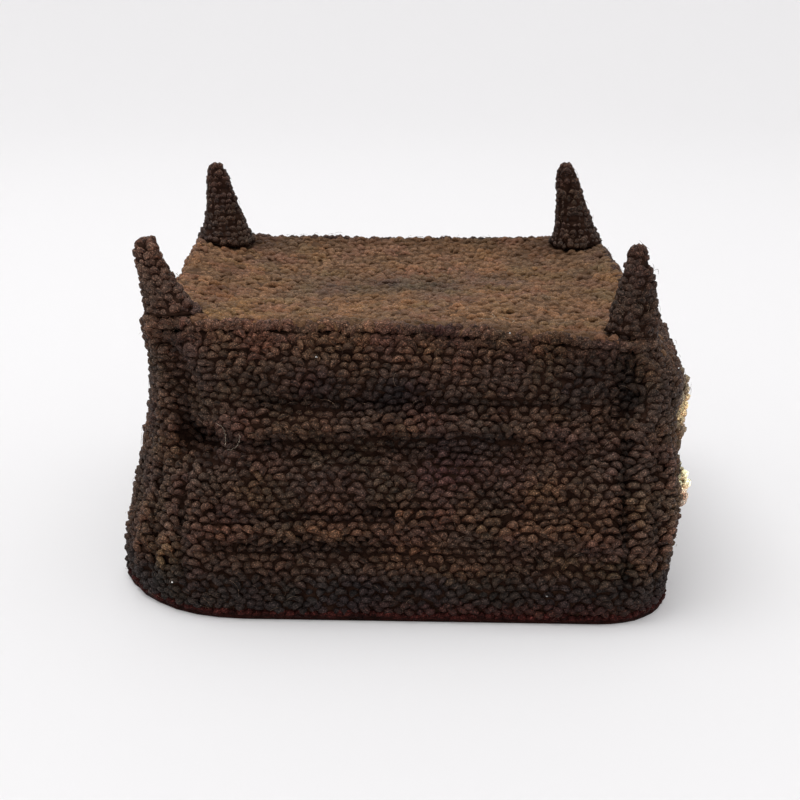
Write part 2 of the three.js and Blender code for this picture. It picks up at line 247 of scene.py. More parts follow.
# The left bank: where the wall rolls over beside the crown, and takes its colour
BANK_FROM = 44 * MM
BANK_BLEND = 8 * MM
BANK_TOP = 70.5 * MM
BANK_TOP_BLEND = 2 * MM
BANK_SHADE = 0.8
UPWARD_FROM = 0.25
UPWARD_BLEND = 0.5

# The yarn's surface: plies round each knot, fibres along it, and bright flecks painted into its colour as
# glints of light
PLIES = 5.0
PLY_SLANT = 2.0
FIBRE_STRETCH = (9.0, 2.5, 1.0)
FIBRE_HEIGHT = 0.9
GOLDEN_SHARE = 0.618
WOOL_ROUGHNESS = 0.6
GLINTS_PER_METRE = 3300.0
MEAN_SHADE = 1.15
KNOTS_PER_METRE = 380.0

# How a knot brightens from its roots to its crest: its roots are darker, partly dirt and partly painted
# shade, and its upper side is lighter as painted light; and how its tints and its shade vary
CREST_OUT = 0.6
PAINTED_TOP_LIGHT = 0.95
CREST_POWER = 1.4
ROOT_SHARE = 0.08
CREST_GAIN = 1.2
TINT_GAIN = 1.6
TINT_BIAS = 0.1
TINT_SPREAD = 0.2
SHADE_DRIFT = 0.2
SHADE_LENGTH = 7 * MM
DARKEST_SHADE = 0.35

# Yarn tints that drift over the cap as differently dyed lengths follow each other
TINTS = [
    {"name": "rose", "tint": (1.04, 0.95, 0.96), "drift": 9 * MM, "seed": 1.3},
    {"name": "olive", "tint": (0.97, 1.02, 0.84), "drift": 11 * MM, "seed": 5.1},
    {"name": "plum", "tint": (0.95, 0.84, 0.98), "drift": 10 * MM, "seed": 9.7},
    {"name": "slate", "tint": (0.82, 0.93, 1.04), "drift": 14 * MM, "seed": 14.2},
    {"name": "fox", "tint": (1.2, 1.06, 0.9), "drift": 8 * MM, "seed": 21.9},
]

# Rolls, creases and ribs of the knotting, in millimetres: the line that each follows, its half width,
# how far it stands out or sags, and its tint: painted shade in the creases, dips and hollows,
# painted light on the rolls and ridges
FOLDS = [
    {"name": "upper roll", "path": [(-43, -61, 49), (-15, -64, 50.3), (8, -62, 52.4), (50, -60, 52.6)],
     "width": 2.2, "lift": 1.2, "tint": (1.14, 1.07, 1.0)},
    {"name": "dip above it", "path": [(-38, -61, 55), (-5, -61, 55.2), (5, -61, 54.6), (46, -62, 54.6)],
     "width": 1.5, "lift": -1.3, "tint": (0.56, 0.56, 0.58)},
    {"name": "crease under it", "path": [(-40, -63, 45.2), (0, -63, 45.6), (17, -64, 46.4), (48, -63, 46.4)],
     "width": 1.4, "lift": -2.1, "tint": (0.34, 0.34, 0.36)},
    {"name": "lower roll, left", "path": [(-46, -66, 23.1), (-27, -68, 24.1), (-8, -69, 24.6)],
     "width": 1.9, "lift": 1.3, "tint": (1.28, 1.16, 1.0)},
    {"name": "lower roll, right", "path": [(-1, -67, 28), (10, -68, 28), (24, -69, 26), (50, -70, 23.5)],
     "width": 2.4, "lift": 1.3, "tint": (1.42, 1.24, 1.04)},
    {"name": "line above the left roll", "path": [(-43, -66, 26.4), (-12, -67, 27.4)],
     "width": 1.4, "lift": -1.0, "tint": (0.58, 0.58, 0.6)},
    {"name": "crease under the left roll", "path": [(-44, -67, 19.6), (-2, -68, 19.6)],
     "width": 1.5, "lift": -1.5, "tint": (0.5, 0.48, 0.5)},
    {"name": "crease under the right roll", "path": [(20, -69, 21.5), (32, -70, 20), (50, -71, 19)],
     "width": 1.6, "lift": -0.9, "tint": (0.7, 0.68, 0.7)},
    {"name": "notch", "path": [(-7, -67, 29), (-3, -67, 28)],
     "width": 2.0, "lift": -1.4, "tint": (0.35, 0.33, 0.38)},
    {"name": "front left ridge", "path": [(-61, -55, 72), (-58, -52, 50), (-56, -52, 42)],
     "width": 2.2, "lift": 0.9, "tint": (1.35, 1.3, 1.25)},
    {"name": "front left valley", "path": [(-56, -57, 71), (-55, -53, 53), (-52.5, -53, 46)],
     "width": 2.2, "lift": -1.4, "tint": (0.4, 0.38, 0.38)},
    {"name": "pit", "path": [(-53, -53, 44), (-47, -57, 44.5)],
     "width": 3.2, "lift": -1.7, "tint": (0.36, 0.32, 0.3)},
    {"name": "front right valley", "path": [(55, -53, 70), (55.5, -58, 63), (56, -59, 53)],
     "width": 2.4, "lift": -1.1, "tint": (0.32, 0.33, 0.34)},
    {"name": "front right ridge", "path": [(61, -55, 70), (61, -59, 60)],
     "width": 2.0, "lift": 0.4, "tint": (1.1, 1.1, 1.1)},
    {"name": "pocket", "path": [(55, -60, 55.5), (61, -58, 55)],
     "width": 2.8, "lift": 0.3, "tint": (0.34, 0.34, 0.35)},
    {"name": "right edge pressed in",
     "path": [(72, -48, 59), (71.6, -50, 51), (71.3, -51, 43),
              (72, -53, 30), (71.5, -55, 20), (69.2, -60, 13)],
     "width": 6.5, "lift": -1.5},
    {"name": "upper pale patch stands out", "path": [(72, -42, 53), (72, -43, 43)],
     "width": 4.0, "lift": 2.6},
    {"name": "lower pale patch stands out", "path": [(73, -47, 30.5), (73, -47, 26)],
     "width": 3.6, "lift": 2.9},
    {"name": "left bank sags", "path": [(-63, 8, 74.5), (-63, -8, 74.5), (-62, -28, 74)],
     "width": 8.0, "lift": 0, "sag": 3.0},
    {"name": "back right shoulder sags", "path": [(69, 50, 70), (72, 44, 66), (73, 36, 65), (73, 27, 64)],
     "width": 7.5, "lift": 0, "sag": 3.2},
    {"name": "right shoulder stands out", "path": [(72, -5, 62.5), (72, -24, 62)],
     "width": 6.0, "lift": 0.9},
    {"name": "left peak leans out", "path": [(-63.5, -51, 88), (-62.5, -51, 78)],
     "width": 4.5, "lift": 1.2},
    {"name": "left peak slopes in", "path": [(-55.5, -51, 87), (-53.5, -50, 83), (-51.5, -49, 80)],
     "width": 4.5, "lift": -1.2},
    {"name": "right peak leans out", "path": [(61.2, -51.6, 82), (61.9, -51.3, 78), (62.5, -51, 75)],
     "width": 4.5, "lift": 1.3},
    {"name": "back left peak spreads out", "path": [(-62.5, 45, 78), (-62.5, 45, 74)],
     "width": 3.5, "lift": 0.9},
    {"name": "low left side pressed in", "path": [(-75, -37, 8), (-73, -37, 20)],
     "width": 11.0, "lift": -0.7},
]

# Ribs down the corners, front left and front right; the back corners carry the same. Their tints paint shade
# into the furrows and light onto the ribs
CORNER_RIBS = [
    {"name": "left front furrow", "lift": -0.8, "tint": 0.66,
     "path": [(-46, -62, 38), (-45.5, -65, 27), (-46, -68, 13)]},
    {"name": "left rib by the front", "lift": 0.9, "tint": 1.25,
     "path": [(-50, -60, 40), (-50, -64, 31), (-51, -66, 14)]},
    {"name": "left furrow", "lift": -1.6, "tint": 0.4,
     "path": [(-53, -59.5, 38), (-55, -62, 25), (-55, -64, 12)]},
    {"name": "left rib on the corner", "lift": 0.9, "tint": 1.3,
     "path": [(-57.5, -56, 38), (-58.5, -59, 24), (-60.5, -62, 11)]},
    {"name": "left side furrow", "lift": -1.5, "tint": 0.45,
     "path": [(-61, -53, 37), (-63, -56, 23), (-64, -58, 10)]},
    {"name": "left side rib", "lift": 0.9, "tint": 1.3,
     "path": [(-65, -48, 35), (-67, -52, 21), (-68, -54, 11)]},
    {"name": "right rib by the front", "lift": 0.7, "tint": 1.3,
     "path": [(51.3, -64, 46), (51.3, -69, 27), (51.8, -72, 12)]},
    {"name": "right furrow", "lift": -1.8, "tint": 0.34,
     "path": [(55, -63, 46), (55, -68, 27), (56, -71, 10)]},
    {"name": "right rib", "lift": 0.9, "tint": 1.25,
     "path": [(59.5, -63, 50), (59.5, -67, 32), (59.5, -70, 10)]},
    {"name": "right side furrow", "lift": -1.6, "tint": 0.42,
     "path": [(63, -63, 50), (63.5, -66, 32), (64, -67, 11)]},
    {"name": "right side rib", "lift": 0.9, "tint": 1.35,
     "path": [(66.5, -59, 50), (66.5, -63, 31), (66.5, -66, 14)]},
]
RIB_WIDTH = 1.6

# Stains, wear, painted light and painted shade, in millimetres: middle, reach, tint, and how sharp the edge
# is
STAINS_AND_PAINTED_LIGHT = [
    {"name": "low band", "at": (0, 0, 4.5), "reach": (400, 400, 8.8),
     "tint": (0.38, 0.45, 0.56), "edge": 3},
    {"name": "red edge", "at": (30, -70, 3.2), "reach": (36, 9, 2.2), "tint": (1.7, 0.8, 0.7)},
    {"name": "shaded upper right", "at": (46, -60, 64), "reach": (11, 14, 7), "tint": (0.52, 0.54, 0.55)},
    {"name": "plum patch", "at": (9, -58, 73), "reach": (7, 9, 3), "tint": (0.4, 0.3, 0.4)},
    # The wall's top edge: paler partly from wear and partly as painted light on fibres that catch the light
    {"name": "worn and lit top edge", "at": (-25, -58, 74), "reach": (34, 9, 8), "tint": (1.9, 1.76, 1.62)},
    {"name": "worn and lit top edge, right", "at": (28, -56, 73), "reach": (24, 8, 7), "tint": (1.4, 1.32, 1.24)},
    {"name": "shade above the dip", "at": (0, -61, 59), "reach": (46, 9, 5), "tint": (0.68, 0.68, 0.7)},
    # Lighter on the bulge
    {"name": "pale bulge", "at": (8, -60, 64), "reach": (12, 9, 5), "tint": (1.15, 1.16, 1.18)},
    {"name": "plum under the bulge", "at": (-24, -61, 60), "reach": (12, 9, 4), "tint": (0.8, 0.72, 0.86)},
    {"name": "blue-black by the notch", "at": (-1, -61, 59), "reach": (5, 9, 4), "tint": (0.45, 0.52, 0.7)},
    {"name": "blue-black in the crease", "at": (13, -63, 44), "reach": (13, 9, 4),
     "tint": (0.6, 0.66, 0.84)},
    {"name": "plum in the middle", "at": (13, -66, 38.5), "reach": (9, 9, 3.5), "tint": (0.95, 0.7, 0.85)},
    {"name": "tan at the right", "at": (40, -66, 33), "reach": (16, 9, 8), "tint": (1.15, 1.1, 1.0)},
    {"name": "olive on the corner", "at": (-61, -59, 15), "reach": (6, 9, 4), "tint": (1.3, 1.25, 0.85)},
    {"name": "rust under the roll", "at": (2, -68, 17.5), "reach": (9, 9, 4), "tint": (1.3, 1.12, 0.95)},
    {"name": "rust to the right", "at": (17, -69, 17), "reach": (6, 9, 4), "tint": (1.2, 1.08, 0.95)},
    {"name": "olive low right", "at": (48, -70, 14.5), "reach": (9, 9, 3), "tint": (1.1, 1.1, 0.8)},
    {"name": "grey above the ribs", "at": (-57, -57, 37), "reach": (7, 9, 4), "tint": (1.15, 1.2, 1.3)},
    {"name": "lit right corner", "at": (67, -58, 34), "reach": (7, 15, 26), "tint": (1.26, 1.28, 1.26)},
    {"name": "lit left corner", "at": (-60, -58, 24), "reach": (9, 15, 22), "tint": (1.22, 1.22, 1.22)},
    {"name": "shade by the right corner", "at": (52, -60, 62), "reach": (5, 14, 9),
     "tint": (0.8, 0.78, 0.78)},
    {"name": "upper pale yellow", "at": (72, -43, 48), "reach": (8, 3.6, 6), "tint": (14, 20, 19)},
    {"name": "lower pale yellow", "at": (73, -47.5, 28.5), "reach": (8, 5.2, 4.0), "tint": (28, 46, 50)},
]

# Marks of the crown: a grey stain in its middle, darker edges, painted shade in the valley by the left bank
# and at the feet of the back peaks, and yellower wool at its front left
CROWN_STAINS_AND_PAINTED_SHADE = [
    {"name": "grey stain", "at": (-3, 5, 72), "reach": (27, 13, 30), "tint": (0.5, 0.62, 0.76)},
    {"name": "stain to the right", "at": (16, 8, 72), "reach": (14, 9, 30), "tint": (0.86, 0.9, 1.0)},
    {"name": "back of the crown", "at": (0, 62, 74), "reach": (90, 36, 30), "tint": (0.86, 0.86, 0.9)},
    {"name": "right of the crown", "at": (56, 8, 74), "reach": (24, 50, 30), "tint": (0.86, 0.87, 0.88)},
    # Painted shade in the valley by the left bank and at the feet of the back peaks
    {"name": "valley by the left bank", "at": (-50, 0, 74), "reach": (2.6, 30, 30),
     "tint": (0.66, 0.62, 0.6)},
    {"name": "dark foot, back left", "at": (-48, 46, 74), "reach": (13, 8, 30), "tint": (0.42, 0.4, 0.42)},
    {"name": "dark foot, back right", "at": (50, 44, 74), "reach": (14, 9, 30), "tint": (0.36, 0.34, 0.36)},
    {"name": "dark back edge", "at": (0, 51, 74), "reach": (60, 3.5, 30), "tint": (0.7, 0.66, 0.64)},
    {"name": "dark spot", "at": (12, -4, 72), "reach": (5, 9, 30), "tint": (0.72, 0.74, 0.8)},
    {"name": "yellow front left", "at": (-42, -46, 72), "reach": (24, 14, 30), "tint": (1.1, 1.06, 0.94)},
    {"name": "darker front edge", "at": (0, -54, 72), "reach": (70, 5.5, 30), "tint": (0.55, 0.54, 0.56)},
]


def deselect_all():
    for thing in bpy.context.selected_objects:
        thing.select_set(False)


def make_active(thing):
    deselect_all()
    thing.select_set(True)
    bpy.context.view_layer.objects.active = thing


class Form:
    """The smooth surface of some CAD nodes, which knots are laid on."""

    def __init__(self, *names):
        self.mesh = bmesh.new()
        for name in names:
            self.mesh.from_mesh(bpy.data.objects[name].data)
        bmesh.ops.remove_doubles(self.mesh, verts=self.mesh.verts, dist=0.01 * MM)
        self.mesh.normal_update()
        self.mesh.faces.ensure_lookup_table()
        self.tree = BVHTree.FromBMesh(self.mesh)

    def outward(self, place, face_number):
        """The surface's direction at a place, blended between the corners of its face."""
        face = self.mesh.faces[face_number]
        weights = [1 / max((place - vert.co).length, 1e-6) for vert in face.verts]
        blended = sum((vert.normal * weight for vert, weight in zip(face.verts, weights)), Vector())
        return blended.normalized()

    def outward_near(self, place):
        found, _, face_number, _ = self.tree.find_nearest(place)
        return self.outward(found, face_number)

    def from_outside(self, middle, angle, reach):
        """Where a level line from outside to a middle meets the surface, and on which face."""
        outwards = Vector((math.cos(angle), math.sin(angle), 0))
        found, _, face_number, _ = self.tree.ray_cast(middle + outwards * reach, -outwards)
        return found, face_number

    def below(self, x, y):
        """Where a line straight down meets the surface, and the direction there, or None."""
        found, _, face_number, _ = self.tree.ray_cast(Vector((x, y, 1.0)), Vector((0, 0, -1)))
        return None if found is None else (found, self.outward(found, face_number))


# Rows of places

def angles_round(count):
    return [2 * math.pi * step / count for step in range(count)]


def open_lengths(points):
    """How far each point is along a line of points."""
    steps = np.linalg.norm(np.diff(points, axis=0), axis=1)
    return np.concatenate([[0.0], np.cumsum(steps)])


def closed_lengths(points):
    return open_lengths(np.vstack([points, points[:1]]))


def spread_round(points, count, shift=0.0):
    """Evenly spaced points on a closed line."""
    lengths = closed_lengths(points)
    wanted = (np.arange(count) + shift) / count * lengths[-1]
    closed = np.vstack([points, points[:1]])
    return np.stack([np.interp(wanted, lengths, closed[:, axis]) for axis in range(3)], axis=1)


def climb(form, angle):
    """Points up the outside of the wall in one direction, from the binding to the crown's edge."""
    points = []
    height = BINDING_TOP - FIRST_ROW_DROP
    missed = 0
    while missed < MISSES:
        found, face_number = form.from_outside(Vector((0, 0, height)), angle, CAST_FROM)
        height += CLIMB_STEP
        missed += 1
        if found is None:
            continue
        if points and points[-1].xy.length - found.xy.length > LARGEST_JUMP:
            continue
        if form.outward(found, face_number).z > STEEPEST_UP:
            continue
        points.append(found)
        missed = 0
    return np.array(points)


def blended_round(values, spread):
    """Each value blended with its neighbours round a closed line."""
    reach = range(-3 * spread, 3 * spread + 1)
    weights = [math.exp(-0.5 * (step / spread) ** 2) for step in reach]
    return sum(np.roll(values, step) * weight for step, weight in zip(reach, weights)) / sum(weights)


def wall_rows(form):
    """The wall's rows of knots: closed lines that share out each climb, and more of them at the top seam."""
    climbs = [climb(form, angle) for angle in angles_round(ROUND_STEPS)]
    lengths = [open_lengths(points) for points in climbs]
    count = round(np.percentile([length[-1] for length in lengths], 80) / ROW_RISE)
    rows = []
    for share in [*np.linspace(0, 1, count), *(1 - down / (count - 1) for down in SEAM_ROWS)]:
        heights = np.array([
            np.interp(share * length[-1], length, points[:, 2]) for points, length in zip(climbs, lengths)
        ])
        heights = blended_round(heights, ROW_BLEND)
        rows.append(np.array([
            [np.interp(height, points[:, 2], points[:, axis]) for axis in range(3)]
            for points, height in zip(climbs, heights)
        ]))
    return rows


# Places for knots

def turned(first, second, angle):
    """Two crossing directions turned together, the first towards the second."""
    cosine, sine = math.cos(angle), math.sin(angle)
    return first * cosine + second * sine, second * cosine - first * sine


class Places:
    """Knots laid on a form: the place of each, its three directions, its size and its colour."""

    def __init__(self, form, seed):
        self.form = form
        self.rng = np.random.default_rng(seed)
        self.rows = []

    def add(self, place, along, size, colour, slant=0.0, lift=0.0, rise=0.0, unruly=1.0):
        place = Vector(place)
        out = self.form.outward_near(place)
        along = Vector(along)
        along = (along - out * along.dot(out)).normalized()
        up = out.cross(along)
        if up.z < 0 and abs(out.z) < 0.8:
            up = -up
        along, up = turned(along, up, slant + self.rng.normal(0, TURN_SPREAD * unruly))
        up, out_tilted = turned(up, out, self.rng.normal(0, NOD_SPREAD))
        if along.cross(up).dot(out_tilted) < 0:
            along = -along
        scatter = self.rng.normal(0, SCATTER * unruly, 3)
        place = place + along * scatter[0] + up * scatter[1]
        place = place + out * (scatter[2] * OUTWARD_SCATTER + lift) + Vector((0, 0, 1)) * rise
        sizes = np.array(size) * self.rng.uniform(*SIZE_SPREAD, 3)
        self.rows.append((place, along, up, out_tilted, sizes, colour))


def bent_spindle(segments, rings):
    """A spindle along x, one unit long, with its rings resized, lowered and sunk as the table says."""
    deselect_all()
    bpy.ops.mesh.primitive_uv_sphere_add(segments=segments, ring_count=6, radius=0.5)
    spindle = bpy.context.object
    bpy.ops.object.mode_set(mode="EDIT")
    bpy.ops.transform.rotate(value=math.pi / 2, orient_axis="Y", center_override=(0, 0, 0))
    shape = bmesh.from_edit_mesh(spindle.data)
    outer_rings = [(side * ring["reach"], ring) for side in (-1, 1) for ring in rings[1:]]
    for middle, ring in [*outer_rings, (0, rings[0])]:
        for vert in shape.verts:
            vert.select = abs(vert.co.x - middle) < 0.02
        shape.select_flush(True)
        bpy.ops.transform.resize(value=(1, ring["girth"], ring["girth"]), center_override=(middle, 0, 0))
        bpy.ops.transform.translate(value=(0, -ring["drop"], -ring["sink"]))
    bpy.ops.object.mode_set(mode="OBJECT")
    arrays = shape_arrays(spindle)
    bpy.data.objects.remove(spindle)
    return arrays


def shape_arrays(thing):
    mesh = thing.data
    verts = np.empty(len(mesh.vertices) * 3)
    mesh.vertices.foreach_get("co", verts)
    loops = np.empty(len(mesh.loops), dtype=np.int64)
    mesh.loops.foreach_get("vertex_index", loops)
    totals = np.empty(len(mesh.polygons), dtype=np.int64)
    mesh.polygons.foreach_get("loop_total", totals)
    flat = np.empty(len(mesh.loops) * 2)
    mesh.uv_layers[0].data.foreach_get("uv", flat)
    return verts.reshape(-1, 3), loops, totals, flat.reshape(-1, 2)


def mesh_from_arrays(name, verts, loops, totals, uvs, colours, material):
    mesh = bpy.data.meshes.new(name)
    mesh.vertices.add(len(verts))
    mesh.vertices.foreach_set("co", verts.ravel())
    mesh.loops.add(len(loops))
    mesh.loops.foreach_set("vertex_index", loops)
    mesh.polygons.add(len(totals))
    mesh.polygons.foreach_set("loop_start", np.concatenate([[0], np.cumsum(totals)[:-1]]))
    mesh.polygons.foreach_set("loop_total", totals)
    mesh.polygons.foreach_set("use_smooth", np.ones(len(totals), dtype=bool))
    mesh.uv_layers.new(name="UVMap").data.foreach_set("uv", uvs.ravel())
    yarn = mesh.color_attributes.new(name="yarn", type="FLOAT_COLOR", domain="POINT")
    yarn.data.foreach_set("color", np.hstack([colours, np.ones((len(colours), 1))]).ravel())
    mesh.update()
    mesh.validate()
    mesh.materials.append(material)
    piece = bpy.data.objects.new(name, mesh)
    bpy.context.scene.collection.objects.link(piece)
    return piece


def crest_colours(verts, colours, ups, root_dirt_and_shade):
    """Yarn colour at each corner of each knot: full on its crest, dark and reddish near the cloth (partly
    dirt, partly painted shade), and lighter on its upper side as painted light.
    """
    crest = verts[None, :, 2] * CREST_OUT + verts[None, :, 1] * ups[:, None] * PAINTED_TOP_LIGHT
    crest = np.clip(crest + 0.5, 0, 1) ** CREST_POWER
    fade = np.array(root_dirt_and_shade) + (1 - np.array(root_dirt_and_shade)) * (ROOT_SHARE + CREST_GAIN * crest)[:, :, None]
    return (colours[:, None, :] * fade).reshape(-1, 3)


def lay_knots(name, rows, knot, material, root_dirt_and_shade=ROOT_DIRT_AND_SHADE):
    """One joined mesh with a copy of the knot at each place."""
    verts, loops, totals, uvs = knot
    count = len(rows)
    places = np.array([row[0] for row in rows])
    frames = np.array([[row[1], row[2], row[3]] for row in rows])
    sizes = np.array([row[4] for row in rows])
    colours = np.array([row[5] for row in rows])
    scaled = verts[None, :, :] * sizes[:, None, :]
    laid = np.einsum("nvk,nkc->nvc", scaled, frames) + places[:, None, :]
    all_loops = (loops[None, :] + np.arange(count)[:, None] * len(verts)).ravel()
    shifted = uvs[None, :, :] + np.modf(np.arange(count) * GOLDEN_SHARE)[0][:, None, None]
    tinted = crest_colours(verts, colours, frames[:, 1, 2], root_dirt_and_shade)
    laid, shifted = laid.reshape(-1, 3), shifted.reshape(-1, 2)
    piece = mesh_from_arrays(name, laid, all_loops, np.tile(totals, count), shifted, tinted, material)
    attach(piece, "root")


# Yarn colour

def drift(place, size, seed):
    """Smooth noise from about -1 to 1 that changes over the given length."""
    return 2 * noise.noise(Vector(place) / size + Vector((seed, seed * 2, seed * 3)))


def clamped(value):
    return min(1.0, max(0.0, value))


def away_from(path, places):
    """How far each place is from a line of joined points, all in millimetres."""
    nearest = np.full(len(places), np.inf)
    for start, end in zip(np.array(path, dtype=float), np.array(path[1:], dtype=float)):
        line = end - start
        share = np.clip((places - start) @ line / (line @ line), 0, 1)
        nearest = np.minimum(nearest, np.linalg.norm(start + share[:, None] * line - places, axis=1))
    return nearest


def all_folds():
    """Every fold, with the corner ribs given a width and repeated on the back corners."""
    folds = list(FOLDS)
    for rib in CORNER_RIBS:
        for side in (1, -1):
            path = [(x, y * side, z) for x, y, z in rib["path"]]
            tint = (rib["tint"],) * 3
            folds.append({"path": path, "width": RIB_WIDTH, "lift": rib["lift"], "tint": tint})
    return folds


def fold_at(folds, places):
    """How far the folds raise the cloth and let it sag at each place, in metres, and the light and shade
    they paint.
    """
    places = np.array(places) / MM
    lift = np.zeros(len(places))
    sag = np.zeros(len(places))
    tint = np.ones((len(places), 3))
    for fold in folds:
        amount = np.exp(-(away_from(fold["path"], places) / fold["width"]) ** 2)
        lift += fold["lift"] * amount * MM
        sag += fold.get("sag", 0) * amount * MM
        tint *= 1 + (np.array(fold.get("tint", NO_TINT)) - 1) * amount[:, None]
    return lift, sag, tint


def yarn_colour(base, place, rng, marked_places, mottle=1.0, spread=0.14):
    """Yarn colour at one place: a base, tints that drift, stains with painted light and shade, and each
    knot's own shade.
    """
    colour = np.array(base)
    for tint in TINTS:
        wanted = drift(place, tint["drift"], tint["seed"]) * TINT_GAIN - TINT_BIAS
        amount = clamped(wanted + rng.normal(0, TINT_SPREAD))
        colour = colour * (1 + (np.array(tint["tint"]) - 1) * amount * mottle)
    # Stains and wear, and patches of painted light and shade
    for marked_place in marked_places:
        away = (np.array(place) / MM - marked_place["at"]) / marked_place["reach"]
        amount = math.exp(-float(away @ away) ** marked_place.get("edge", 1))
        colour = colour * (1 + (np.array(marked_place["tint"]) - 1) * amount)
    shade = 1 + SHADE_DRIFT * drift(place, SHADE_LENGTH, 33.0) * mottle + rng.normal(0, spread)
    return colour * max(DARKEST_SHADE, shade)


# Materials

def group_socket(group, name, kind, in_out, value=None):
    """A named way into or out of a node group, with what it holds when nothing is joined to it."""
    socket = group.interface.new_socket(name=name, in_out=in_out, socket_type=kind)
    if value is not None:
        socket.default_value = value


def maths(tree, operation, *values):
    """The result of a maths node, on numbers and other nodes' results."""
    node = tree.nodes.new("ShaderNodeMath")
    node.operation = operation
    for socket, value in zip(node.inputs, values):
        if isinstance(value, bpy.types.NodeSocket):
            tree.links.new(value, socket)
        else:
            socket.default_value = value
    return node.outputs[0]


def noise_texture(tree, where, scale, detail):
    texture = tree.nodes.new("ShaderNodeTexNoise")
    texture.inputs["Scale"].default_value = scale
    texture.inputs["Detail"].default_value = detail
    tree.links.new(where, texture.inputs["Vector"])
    return texture.outputs["Fac"]


def remapped(tree, value, before, after):
    """A value moved from one range to another."""
    node = tree.nodes.new("ShaderNodeMapRange")
    node.inputs["From Min"].default_value = before[0]
    node.inputs["From Max"].default_value = before[1]
    node.inputs["To Min"].default_value = after[0]
    node.inputs["To Max"].default_value = after[1]
    tree.links.new(value, node.inputs["Value"])
    return node.outputs["Result"]


def yarn_surface_group():
    """Twisted plies and loose fibres: a height for bump, and a factor for colour with painted glints in it.
    """
    group = bpy.data.node_groups.new("yarn_surface", "ShaderNodeTree")
    group_socket(group, "Contrast", "NodeSocketFloat", "INPUT", 1.0)
    group_socket(group, "Height", "NodeSocketFloat", "OUTPUT")
    group_socket(group, "Shade", "NodeSocketFloat", "OUTPUT")
    nodes, link = group.nodes, group.links.new
    given = nodes.new("NodeGroupInput")
    out = nodes.new("NodeGroupOutput")
    uv = nodes.new("ShaderNodeUVMap")
    uv.uv_map = "UVMap"
    split = nodes.new("ShaderNodeSeparateXYZ")
    link(uv.outputs["UV"], split.inputs[0])
    along = maths(group, "MULTIPLY", split.outputs["Y"], PLIES)
    slant = maths(group, "MULTIPLY_ADD", split.outputs["X"], PLY_SLANT, along)
    plies = maths(group, "PINGPONG", slant, 0.5)
    strand = nodes.new("ShaderNodeVectorMath")
    strand.operation = "MULTIPLY"
    strand.inputs[1].default_value = FIBRE_STRETCH
    link(uv.outputs["UV"], strand.inputs[0])
    fibres = noise_texture(group, strand.outputs[0], scale=1.0, detail=2.0)
    link(maths(group, "MULTIPLY_ADD", fibres, FIBRE_HEIGHT, plies), out.inputs["Height"])
    where = nodes.new("ShaderNodeTexCoord")
    # Bright flecks in the colour: painted glints of light on the fibres
    glint_noise = noise_texture(group, where.outputs["Object"], scale=GLINTS_PER_METRE, detail=1.0)
    fibre_shade = remapped(group, fibres, (0.32, 0.7), (0.35, 1.8))
    painted_glints = remapped(group, glint_noise, (0.57, 0.68), (0.0, 3.6))
    uneven = maths(group, "SUBTRACT", maths(group, "ADD", fibre_shade, painted_glints), MEAN_SHADE)
    shade = maths(group, "MULTIPLY_ADD", uneven, given.outputs["Contrast"], MEAN_SHADE)
    link(shade, out.inputs["Shade"])
    return group


def plain_material(name, roughness):
    """A new material and its main shader."""
    material = bpy.data.materials.new(name)
    material.use_nodes = True
    shader = material.node_tree.nodes["Principled BSDF"]
    shader.inputs["Roughness"].default_value = roughness
    return material, shader


def wool_material(name, yarn_group, specular=0.14, bump=0.9, contrast=1.0):
    """Wool that takes its colour from each knot."""
    material, shader = plain_material(name, WOOL_ROUGHNESS)
    shader.inputs["Specular IOR Level"].default_value = specular
    nodes, link = material.node_tree.nodes, material.node_tree.links.new
    surface = nodes.new("ShaderNodeGroup")
    surface.node_tree = yarn_group
    surface.inputs["Contrast"].default_value = contrast
    mix = nodes.new("ShaderNodeVectorMath")
    mix.operation = "SCALE"
    yarn = nodes.new("ShaderNodeAttribute")
    yarn.attribute_name = "yarn"
    link(yarn.outputs["Color"], mix.inputs[0])
    link(surface.outputs["Shade"], mix.inputs["Scale"])
    link(mix.outputs[0], shader.inputs["Base Color"])
    raised = nodes.new("ShaderNodeBump")
    raised.inputs["Strength"].default_value = bump
    raised.inputs["Distance"].default_value = 0.35 * MM
    link(surface.outputs["Height"], raised.inputs["Height"])
    link(raised.outputs[0], shader.inputs["Normal"])
    return material


